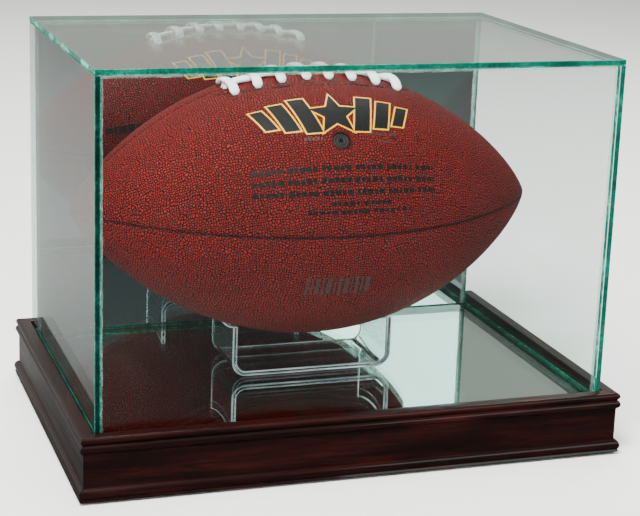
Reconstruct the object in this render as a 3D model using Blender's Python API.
"""Football display case: a moulded wood base with a recessed mirror floor, a lift-off glass cover
with a mirror back, a bent acrylic stand and the football that it shows.

Metres, +Z up, +X to the viewer's right, -Y to the front. The origin is at the middle of the
footprint, on the surface that the case stands on. Every piece is its own closed object.
"""

from math import asin, cos, pi, radians, sin

import bmesh
import bpy
from mathutils import Matrix, Vector

# Driving dimensions, in metres.
GAP = 0.0003  # clearance between pieces that touch

GLASS_WIDTH = 0.305  # outside of the cover
GLASS_DEPTH = 0.205
GLASS_RISE = 0.198  # how far the cover stands above the wood rim
GLASS_THICKNESS = 0.003
SEAM_LEG = 0.002  # legs of the clear silicone fillets inside the cover

RIM_HEIGHT = 0.038  # top of the wood rim
FLOOR_RECESS = 0.006  # rim top down to the mirror floor
COVER_CLEARANCE = 0.001  # cover to the inside of the wood rim
MIRROR_THICKNESS = 0.004
BOARD_THICKNESS = 0.009
BLOCK_LEG = 0.042  # legs of the triangular corner blocks
PAD_RADIUS = 0.008
PAD_THICKNESS = 0.0014
PAD_INSET = 0.014  # pad centre from the inner faces of the rails

# The base moulding's section, out from the rail's inner face and down from the rim top.
TOP_BEAD_OUT, TOP_BEAD_DOWN, TOP_BEAD_RADIUS = 0.0062, 0.0020, 0.0020
NECK_OUT, NECK_DOWN = 0.0073, 0.00415  # the groove between the two beads
LOWER_BEAD_OUT, LOWER_BEAD_DOWN, LOWER_BEAD_RADIUS = 0.0057, 0.0069, 0.0028
WALL_OUT, WALL_TOP_DOWN, WALL_FOOT_DOWN = 0.0066, 0.0104, 0.0283
TORUS_OUT, TORUS_DOWN, TORUS_RADIUS = 0.0053, 0.0326, 0.0041
PLINTH_OUT = 0.0082

STAND_WIDTH = 0.102  # outside of the two arms
STAND_DEPTH = 0.050
STAND_THICKNESS = 0.003
STAND_BEND_RADIUS = 0.009  # outside of the heat bends
STAND_SET_BACK = 0.008  # middle of the stand, behind the middle of the case
STAND_ARM_HEIGHT = 0.033  # arm tips above the mirror floor
SADDLE_LENGTH = 0.14  # the cutter for the arm tops reaches past both arms

BALL_LENGTH = 0.292
BALL_RADIUS = 0.081
BALL_FULLNESS = 0.8  # 1 is a pointed lemon, 0.5 an ellipse
BALL_HEIGHT = 0.0965  # ball axis above the rim top
LEATHER_THICKNESS = 0.003
LEATHER_TIP = 0.005  # how much thicker the leather is at the two tips
TIP_CORE_RADIUS = 0.00045  # the leather is solid round the axis at the tips
BLADDER_CLEARANCE = 0.0015
BLADDER_THICKNESS = 0.0012
LACE_LEAN = radians(2)  # the laces lean this far towards the front
VALVE_ANGLE = radians(51.5)  # round from the top towards the front
VALVE_RADIUS = 0.0050
VALVE_EDGE = 0.0004  # chamfer round the valve's face, which is also this far below the leather
VALVE_FLANGE_RADIUS = 0.0082
VALVE_FLANGE_DEPTH = 0.0095  # the flange's underside, below the leather
VALVE_FLANGE_THICKNESS = 0.0015
NEEDLE_HOLE_RADIUS = 0.0009
NEEDLE_HOLE_DEPTH = 0.0010
LACE_LENGTH = 0.108
LACE_CROSSES = 8
LACE_CROSS_WIDTH = 0.006
LACE_CROSS_SPAN = 0.032
LACE_STRIP_SPAN = 0.009
LACE_THICKNESS = 0.0028
LACE_STRIP_SHARE = 0.8  # thickness of the strip under the crosses, against theirs

# Sizes that follow from them.
INNER_X = GLASS_WIDTH / 2 + COVER_CLEARANCE  # inner faces of the side rails
INNER_Y = GLASS_DEPTH / 2 + COVER_CLEARANCE
FLOOR_Z = RIM_HEIGHT - FLOOR_RECESS  # top of the mirror floor
BOARD_TOP = FLOOR_Z - MIRROR_THICKNESS - GAP
BOARD_BOTTOM = BOARD_TOP - BOARD_THICKNESS
COVER_BOTTOM = FLOOR_Z + GAP
COVER_TOP = RIM_HEIGHT + GLASS_RISE
PANE_TOP = COVER_TOP - GLASS_THICKNESS - GAP  # upright panes stop under the top pane
PANE_X = GLASS_WIDTH / 2 - GLASS_THICKNESS  # inner faces of the side panes
PANE_Y = GLASS_DEPTH / 2 - GLASS_THICKNESS
BALL_CENTRE = Vector((0, STAND_SET_BACK, RIM_HEIGHT + BALL_HEIGHT))

# Colour, roughness and metallic value of each material.
FINISHES = {
    "cherry_wood": ((0.060, 0.010, 0.008), 0.28, 0.0),
    "board": ((0.30, 0.20, 0.12), 0.80, 0.0),
    "felt": ((0.02, 0.02, 0.02), 0.95, 0.0),
    "mirror": ((0.80, 0.85, 0.83), 0.02, 1.0),
    "glass": ((0.62, 0.86, 0.78), 0.02, 0.0),
    "silicone": ((0.85, 0.90, 0.88), 0.20, 0.0),
    "acrylic": ((0.90, 0.95, 0.95), 0.03, 0.0),
    "leather": ((0.26, 0.030, 0.026), 0.55, 0.0),
    "rubber": ((0.015, 0.015, 0.015), 0.70, 0.0),
    "lace": ((0.85, 0.85, 0.82), 0.50, 0.0),
}


def clear_scene():
    for obj in list(bpy.data.objects):
        bpy.data.objects.remove(obj, do_unlink=True)


def make_materials():
    materials = {}
    for name, (colour, roughness, metallic) in FINISHES.items():
        material = bpy.data.materials.new(name)
        material.use_nodes = True
        shader = material.node_tree.nodes["Principled BSDF"]
        shader.inputs["Base Color"].default_value = (*colour, 1)
        shader.inputs["Roughness"].default_value = roughness
        shader.inputs["Metallic"].default_value = metallic
        material.diffuse_color = (*colour, 1)
        materials[name] = material
    return materials


def carrier(name, location, parent=None):
    """An empty that carries the pieces that move together, on their joint's axis."""
    empty = bpy.data.objects.new(name, None)
    empty.location = Vector(location) - (parent.location if parent else Vector())
    empty.parent = parent
    bpy.context.collection.objects.link(empty)
    return empty


def add_piece(name, shape, material, parent=None, location=(0, 0, 0), turn=0.0, smooth=False):
    """Makes an object of a bmesh. The location is from the parent, and turn is about Z."""
    bmesh.ops.remove_doubles(shape, verts=shape.verts, dist=1e-6)
    bmesh.ops.recalc_face_normals(shape, faces=shape.faces)
    mesh = bpy.data.meshes.new(name)
    shape.to_mesh(mesh)
    shape.free()
    if smooth:
        mesh.shade_smooth()
        mesh.set_sharp_from_angle(angle=radians(35))
    mesh.materials.append(material)
    obj = bpy.data.objects.new(name, mesh)
    obj.parent = parent
    obj.location = location
    obj.rotation_euler = (0, 0, turn)
    bpy.context.collection.objects.link(obj)
    return obj


def make_cutter(obj):
    obj.hide_render = True
    obj.display_type = "WIRE"
    return obj


def add_boolean(obj, other, operation):
    modifier = obj.modifiers.new(f"{operation.lower()} {other.name}", "BOOLEAN")
    modifier.operation = operation
    modifier.solver = "EXACT"
    modifier.object = other


def box_between(low, high):
    """A bmesh box from its lowest to its highest corner."""
    shape = bmesh.new()
    bmesh.ops.create_cube(shape, size=1)
    size = Vector(high) - Vector(low)
    middle = (Vector(high) + Vector(low)) / 2
    bmesh.ops.transform(
        shape, verts=shape.verts, matrix=Matrix.Translation(middle) @ Matrix.Diagonal((*size, 1))
    )
    return shape


def prism(start_ring, end_ring):
    """A bmesh solid between two matching outlines."""
    shape = bmesh.new()
    first = [shape.verts.new(point) for point in start_ring]
    last = [shape.verts.new(point) for point in end_ring]
    shape.faces.new(first)
    shape.faces.new(last)
    for i in range(len(first)):
        j = (i + 1) % len(first)
        shape.faces.new((first[i], first[j], last[j], last[i]))
    return shape


def arc(centre, radius, start, end, steps):
    """Points on a circle, from start to end in degrees, as (across, up)."""
    angles = [radians(start + (end - start) * i / steps) for i in range(steps + 1)]
    return [(centre[0] + radius * cos(a), centre[1] + radius * sin(a)) for a in angles]


# Base


def moulding_outline():
    """The rail's section as (out from its inner face, up from the rim top)."""
    top_bead = arc((TOP_BEAD_OUT, -TOP_BEAD_DOWN), TOP_BEAD_RADIUS, 90, -50, 6)
    lower_bead = arc((LOWER_BEAD_OUT, -LOWER_BEAD_DOWN), LOWER_BEAD_RADIUS, 50, -65, 6)
    plinth_torus = arc((TORUS_OUT, -TORUS_DOWN), TORUS_RADIUS, 68, -40, 8)
    rail_height = RIM_HEIGHT - PAD_THICKNESS
    return [
        (0, 0),
        *top_bead,
        (NECK_OUT, -NECK_DOWN),
        *lower_bead,
        (WALL_OUT, -WALL_TOP_DOWN),
        (WALL_OUT, -WALL_FOOT_DOWN),
        *plinth_torus,
        (PLINTH_OUT, -rail_height),
        (0, -rail_height),
    ]


def rail(half_length):
    """A moulding along X with mitred ends, its inner face at y = 0 and its front towards -Y."""
    mitre_gap = GAP * 0.75  # along the rail; 0.71 of it is the gap across the mitre
    outline = moulding_outline()
    left = [(-(half_length + out - mitre_gap), -out, up) for out, up in outline]
    right = [(half_length + out - mitre_gap, -out, up) for out, up in outline]
    return prism(left, right)


def corner_block():
    """A triangular block with its square corner at the origin, towards +X and +Y."""
    corners = [(0, 0), (BLOCK_LEG, 0), (0, BLOCK_LEG)]
    low, high = PAD_THICKNESS + GAP, BOARD_BOTTOM - GAP
    return prism([(x, y, low) for x, y in corners], [(x, y, high) for x, y in corners])


def foot_pad():
    shape = bmesh.new()
    bmesh.ops.create_cone(
        shape, cap_ends=True, segments=32, radius1=PAD_RADIUS, radius2=PAD_RADIUS, depth=PAD_THICKNESS
    )
    return shape


def build_base(materials):
    wood = materials["cherry_wood"]
    sides = (
        ("front", INNER_X, (0, -INNER_Y), 0),
        ("right", INNER_Y, (INNER_X, 0), pi / 2),
        ("back", INNER_X, (0, INNER_Y), pi),
        ("left", INNER_Y, (-INNER_X, 0), -pi / 2),
    )
    for side, half_length, (x, y), turn in sides:
        place = (x, y, RIM_HEIGHT)
        add_piece(f"base_rail_{side}", rail(half_length), wood, None, place, turn, smooth=True)

    inside_x, inside_y = INNER_X - GAP, INNER_Y - GAP
    board = box_between((-inside_x, -inside_y, BOARD_BOTTOM), (inside_x, inside_y, BOARD_TOP))
    add_piece("base_board", board, materials["board"])
    mirror_low = (-inside_x, -inside_y, FLOOR_Z - MIRROR_THICKNESS)
    add_piece("floor_mirror", box_between(mirror_low, (inside_x, inside_y, FLOOR_Z)), materials["mirror"])

    pad_x, pad_y = INNER_X - PAD_INSET, INNER_Y - PAD_INSET
    corners = (
        ("front_left", -1, -1, 0),
        ("front_right", 1, -1, pi / 2),
        ("back_right", 1, 1, pi),
        ("back_left", -1, 1, -pi / 2),
    )
    for corner, x, y, turn in corners:
        place = (x * inside_x, y * inside_y, 0)
        add_piece(f"corner_block_{corner}", corner_block(), materials["board"], None, place, turn)
        place = (x * pad_x, y * pad_y, PAD_THICKNESS / 2)
        add_piece(f"foot_pad_{corner}", foot_pad(), materials["felt"], None, place, smooth=True)


# Cover


def seam_fillet(length):
    """A clear fillet along Z from z = 0, with its square corner on the Z axis, towards +X and +Y."""
    bulge = SEAM_LEG * 0.45
    outline = [(0, 0), (SEAM_LEG, 0), (bulge, bulge), (0, SEAM_LEG)]
    return prism([(x, y, 0) for x, y in outline], [(x, y, length) for x, y in outline])


def build_cover(materials):
    glass, silicone = materials["glass"], materials["silicone"]
    half_x, half_y = GLASS_WIDTH / 2, GLASS_DEPTH / 2
    cover = carrier("cover_lift_axis", (0, 0, COVER_BOTTOM))
    pane_height = PANE_TOP - COVER_BOTTOM
    lid_low, lid_high = COVER_TOP - GLASS_THICKNESS - COVER_BOTTOM, COVER_TOP - COVER_BOTTOM

    def pane(name, material, low, high):
        add_piece(name, box_between(low, high), material, cover)

    pane("glass_top", glass, (-half_x, -half_y, lid_low), (half_x, half_y, lid_high))
    pane("glass_left", glass, (-half_x, -half_y, 0), (-PANE_X, half_y, pane_height))
    pane("glass_right", glass, (PANE_X, -half_y, 0), (half_x, half_y, pane_height))
    between = PANE_X - GAP  # the front and back panes stand between the side panes
    pane("glass_front", glass, (-between, -half_y, 0), (between, -PANE_Y, pane_height))
    pane("mirror_back", materials["mirror"], (-between, PANE_Y, 0), (between, half_y, pane_height))

    inside_x, inside_y = PANE_X - GAP, PANE_Y - GAP
    upright_length = pane_height - SEAM_LEG - 3 * GAP
    uprights = (
        ("front_left", -1, -1, 0),
        ("front_right", 1, -1, pi / 2),
        ("back_right", 1, 1, pi),
        ("back_left", -1, 1, -pi / 2),
    )
    for corner, x, y, turn in uprights:
        place = (x * inside_x, y * inside_y, GAP)
        add_piece(f"seam_{corner}", seam_fillet(upright_length), silicone, cover, place, turn)

    long_length = 2 * inside_x
    short_length = 2 * (inside_y - SEAM_LEG - GAP)
    tops = (
        ("front", long_length, (-inside_x, -inside_y), 0),
        ("right", short_length, (inside_x, -short_length / 2), pi / 2),
        ("back", long_length, (inside_x, inside_y), pi),
        ("left", short_length, (-inside_x, short_length / 2), -pi / 2),
    )
    lay_down = Matrix(((0, 0, 1, 0), (1, 0, 0, 0), (0, -1, 0, 0), (0, 0, 0, 1)))
    for side, length, (x, y), turn in tops:
        fillet = seam_fillet(length)
        bmesh.ops.transform(fillet, verts=fillet.verts, matrix=lay_down)
        add_piece(f"top_seam_{side}", fillet, silicone, cover, (x, y, pane_height - GAP), turn)


# Football


def ball_radius(x, length=BALL_LENGTH, radius=BALL_RADIUS):
    """Radius of the turned ball shape at x from its middle."""
    share = 1 - (2 * x / length) ** 2
    return radius * share**BALL_FULLNESS if share > 0 else 0.0


def around(x, radius, angle):
    """A point on the ball, with its angle from the top towards the front."""
    return (x, -radius * sin(angle), radius * cos(angle))


def solid_grid(outer, inner):
    """A bmesh shell between two matching grids of points, closed round its edges."""
    shape = bmesh.new()
    skins = [[[shape.verts.new(p) for p in row] for row in grid] for grid in (outer, inner)]
    rows, columns = len(outer), len(outer[0])
    for skin in skins:
        for i in range(rows - 1):
            for j in range(columns - 1):
                shape.faces.new((skin[i][j], skin[i][j + 1], skin[i + 1][j + 1], skin[i + 1][j]))
    top, under = skins
    for i in (0, rows - 1):
        for j in range(columns - 1):
            shape.faces.new((top[i][j], top[i][j + 1], under[i][j + 1], under[i][j]))
    for j in (0, columns - 1):
        for i in range(rows - 1):
            shape.faces.new((top[i][j], top[i + 1][j], under[i + 1][j], under[i][j]))
    return shape


def ball_stations(count=22, reach=0.998):
    """Places along the ball, closer together towards its tips."""
    widest = asin(reach)
    angles = [widest * (2 * i / (count - 1) - 1) for i in range(count)]
    return [BALL_LENGTH / 2 * sin(angle) for angle in angles]


def leather_panel(start, end, steps=8):
    """A quarter of the leather shell, between two seams."""
    outer, inner = [], []
    for x in ball_stations():
        lining = ball_radius(x, BALL_LENGTH - 2 * LEATHER_TIP, BALL_RADIUS - LEATHER_THICKNESS)
        for grid, radius in ((outer, ball_radius(x)), (inner, max(lining, TIP_CORE_RADIUS))):
            inset = asin(GAP / 2 / radius)
            span = end - start - 2 * inset
            angles = [start + inset + span * j / steps for j in range(steps + 1)]
            grid.append([around(x, radius, angle) for angle in angles])
    return solid_grid(outer, inner)


def bladder_shape(shrink, stations=17, segments=24):
    """The solid shape of the bladder, smaller all round by shrink."""
    shape = bmesh.new()
    length = BALL_LENGTH - 2 * (LEATHER_TIP + 2 * BLADDER_CLEARANCE) - 4 * shrink
    radius = BALL_RADIUS - LEATHER_THICKNESS - BLADDER_CLEARANCE - shrink
    rings = []
    for i in range(1, stations - 1):
        x = length / 2 * -cos(pi * i / (stations - 1))
        r = ball_radius(x, length, radius)
        angles = [2 * pi * j / segments for j in range(segments)]
        rings.append([shape.verts.new(around(x, r, angle)) for angle in angles])
    for a, b in zip(rings, rings[1:]):
        for j in range(segments):
            k = (j + 1) % segments
            shape.faces.new((a[j], a[k], b[k], b[j]))
    for end, ring in ((-1, rings[0]), (1, rings[-1])):
        tip = shape.verts.new((end * length / 2, 0, 0))
        for j in range(segments):
            shape.faces.new((tip, ring[j], ring[(j + 1) % segments]))
    return shape


def radial_frame(angle):
    """Stands +Z on the ball's side, at an angle from the top towards the front."""
    return Matrix.Rotation(angle, 4, "X")


def valve_body():
    """A turned rubber plug with a flange inside the bladder."""
    flange_low = BALL_RADIUS - VALVE_FLANGE_DEPTH
    flange_high = flange_low + VALVE_FLANGE_THICKNESS
    face = BALL_RADIUS - VALVE_EDGE
    outline = [
        (0, flange_low),
        (VALVE_FLANGE_RADIUS, flange_low),
        (VALVE_FLANGE_RADIUS, flange_high),
        (VALVE_RADIUS, flange_high + VALVE_EDGE),
        (VALVE_RADIUS, face - VALVE_EDGE),
        (VALVE_RADIUS - VALVE_EDGE, face),
        (NEEDLE_HOLE_RADIUS, face),
        (NEEDLE_HOLE_RADIUS, face - NEEDLE_HOLE_DEPTH),
        (0, face - NEEDLE_HOLE_DEPTH),
    ]
    shape = bmesh.new()
    verts = [shape.verts.new((r, 0, z)) for r, z in outline]
    edges = [shape.edges.new(pair) for pair in zip(verts, verts[1:])]
    bmesh.ops.spin(
        shape, geom=verts + edges, cent=(0, 0, 0), axis=(0, 0, 1), angle=2 * pi, steps=20, use_merge=True
    )
    bmesh.ops.transform(shape, verts=shape.verts, matrix=radial_frame(VALVE_ANGLE))
    return shape


def valve_hole():
    """The cutter for the hole through the leather and the bladder."""
    shape = bmesh.new()
    radius, depth = VALVE_RADIUS + GAP, 3 * VALVE_FLANGE_DEPTH
    bmesh.ops.create_cone(
        shape, cap_ends=True, segments=20, radius1=radius, radius2=radius, depth=depth
    )
    out = radial_frame(VALVE_ANGLE) @ Matrix.Translation((0, 0, BALL_RADIUS))
    bmesh.ops.transform(shape, verts=shape.verts, matrix=out)
    return shape


def lace_band(middle, length, span, along, across, thickness):
    """A strip of lace that follows the ball, centred on the laced seam."""
    outer, inner = [], []
    for i in range(along + 1):
        x = middle + length * (i / along - 0.5)
        surface = ball_radius(x)
        for grid, lift in ((outer, GAP + thickness), (inner, GAP)):
            widest = span / 2 / surface
            angles = [LACE_LEAN + widest * (2 * j / across - 1) for j in range(across + 1)]
            grid.append([around(x, surface + lift, angle) for angle in angles])
    return solid_grid(outer, inner)


def build_football(materials, stand):
    leather, rubber = materials["leather"], materials["rubber"]
    football = carrier("ball_turn_axis", BALL_CENTRE, stand)
    hole = make_cutter(add_piece("valve_hole_cutter", valve_hole(), rubber, football))
    quarters = ("upper_front", "lower_front", "lower_back", "upper_back")
    for i, quarter in enumerate(quarters):
        start = LACE_LEAN + i * pi / 2
        shape = leather_panel(start, start + pi / 2)
        panel = add_piece(f"football_panel_{quarter}", shape, leather, football, smooth=True)
        if quarter == "upper_front":
            add_boolean(panel, hole, "DIFFERENCE")

    bladder = add_piece("football_bladder", bladder_shape(0), rubber, football, smooth=True)
    hollow = add_piece("bladder_hollow_cutter", bladder_shape(BLADDER_THICKNESS), rubber, football)
    add_boolean(bladder, make_cutter(hollow), "DIFFERENCE")
    add_boolean(bladder, hole, "DIFFERENCE")
    add_piece("football_valve", valve_body(), rubber, football, smooth=True)

    strip = lace_band(0, LACE_LENGTH, LACE_STRIP_SPAN, 24, 4, LACE_THICKNESS * LACE_STRIP_SHARE)
    lace = add_piece("football_lace", strip, materials["lace"], football)
    pitch = (LACE_LENGTH - 2 * LACE_CROSS_WIDTH) / (LACE_CROSSES - 1)
    for i in range(LACE_CROSSES):
        middle = pitch * (i - (LACE_CROSSES - 1) / 2)
        band = lace_band(middle, LACE_CROSS_WIDTH, LACE_CROSS_SPAN, 2, 8, LACE_THICKNESS)
        cross = add_piece(f"lace_cross_{i + 1}", band, materials["lace"], football)
        add_boolean(lace, make_cutter(cross), "UNION")


# Stand


def stand_outline():
    """The bent sheet seen from the front: a flat foot with an upright arm at each end."""
    outer, thickness = STAND_BEND_RADIUS, STAND_THICKNESS
    half = STAND_WIDTH / 2
    inner = outer - thickness
    right_outer = arc((half - outer, outer), outer, -90, 0, 6)
    right_inner = arc((half - outer, outer), inner, 0, -90, 6)
    right = [*right_outer, (half, STAND_ARM_HEIGHT), (half - thickness, STAND_ARM_HEIGHT), *right_inner]
    left = [(-x, z) for x, z in reversed(right)]
    return right + left


def build_stand(materials):
    foot_z = FLOOR_Z + GAP
    stand = carrier("stand_slide_axis", (0, STAND_SET_BACK, foot_z))
    outline = stand_outline()
    rings = [[(x, y, z) for x, z in outline] for y in (-STAND_DEPTH / 2, STAND_DEPTH / 2)]
    sheet = add_piece("acrylic_stand", prism(*rings), materials["acrylic"], stand, smooth=True)

    # The arm tops are cut to the ball, which is widest at their inner faces.
    saddle_radius = ball_radius(STAND_WIDTH / 2 - STAND_THICKNESS) + GAP
    saddle = bmesh.new()
    bmesh.ops.create_cone(
        saddle, cap_ends=True, segments=128, radius1=saddle_radius, radius2=saddle_radius, depth=SADDLE_LENGTH
    )
    across = Matrix.Translation((0, 0, BALL_CENTRE.z - foot_z)) @ Matrix.Rotation(pi / 2, 4, "Y")
    bmesh.ops.transform(saddle, verts=saddle.verts, matrix=across)
    cutter = make_cutter(add_piece("saddle_cutter", saddle, materials["acrylic"], stand))
    add_boolean(sheet, cutter, "DIFFERENCE")
    return stand


def main():
    clear_scene()
    materials = make_materials()
    build_base(materials)
    build_cover(materials)
    stand = build_stand(materials)
    build_football(materials, stand)


main()
